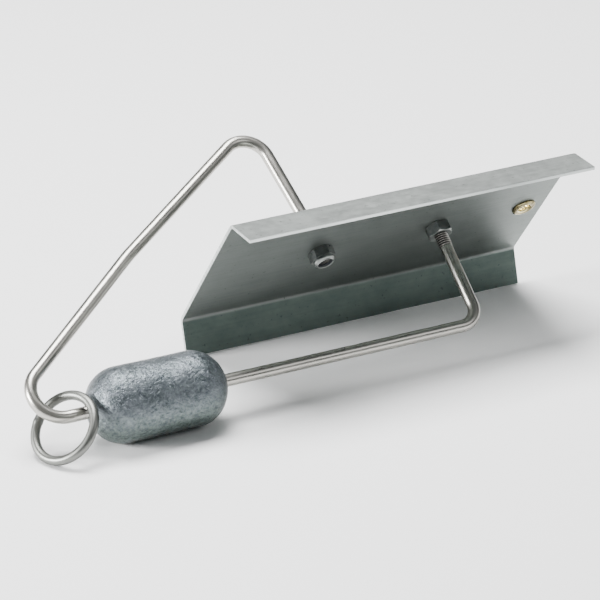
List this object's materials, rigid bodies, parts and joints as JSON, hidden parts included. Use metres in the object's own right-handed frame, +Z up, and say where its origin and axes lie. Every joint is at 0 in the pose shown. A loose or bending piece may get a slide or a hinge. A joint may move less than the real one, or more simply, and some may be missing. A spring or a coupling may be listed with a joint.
{
  "type": "diving planer",
  "caption": "Trolling diving planer: a flanged sheet plate on a bent stainless rod with a cast lead weight, a sliding tow ring and a brass line eyelet.",
  "frame": {"origin": "middle of the planer's footprint, on the ground that it rests on", "axes": "+X along the diving plate towards its tail, +Z up from the ground, +Y away from the side that shows the plate's underside"},
  "size_m": [0.262, 0.1042, 0.0862],
  "materials": {
    "sheet_steel": "dull zinc-grey rolled sheet",
    "rod_steel": "bright drawn stainless rod",
    "ring_steel": "satin stainless wire",
    "cast_lead": "cast lead, mottled, with a mould seam and small dents",
    "nut_steel": "plain stainless",
    "nylon": "dark slate nylon",
    "eyelet_brass": "pressed brass"
  },
  "bodies": {
    "planer": {"diving_plate": "sheet_steel", "bail_wire": "rod_steel", "lead_weight": "cast_lead", "front_lock_nut": "nut_steel", "front_lock_insert": "nylon", "front_plain_nut": "nut_steel", "rear_plain_nut": "nut_steel", "rear_lock_nut": "nut_steel", "rear_lock_insert": "nylon", "line_eyelet": "eyelet_brass"},
    "ring": {"tow_ring": "ring_steel"}
  },
  "joints": [
    {"name": "ring_round_nose", "type": "hinge", "parent": "planer", "child": "ring", "pos_m": [-0.11552, -0.02488, 0.02348], "axis": [0, 0.6286, -0.7777], "range_deg": [0, 140]}
  ]
}
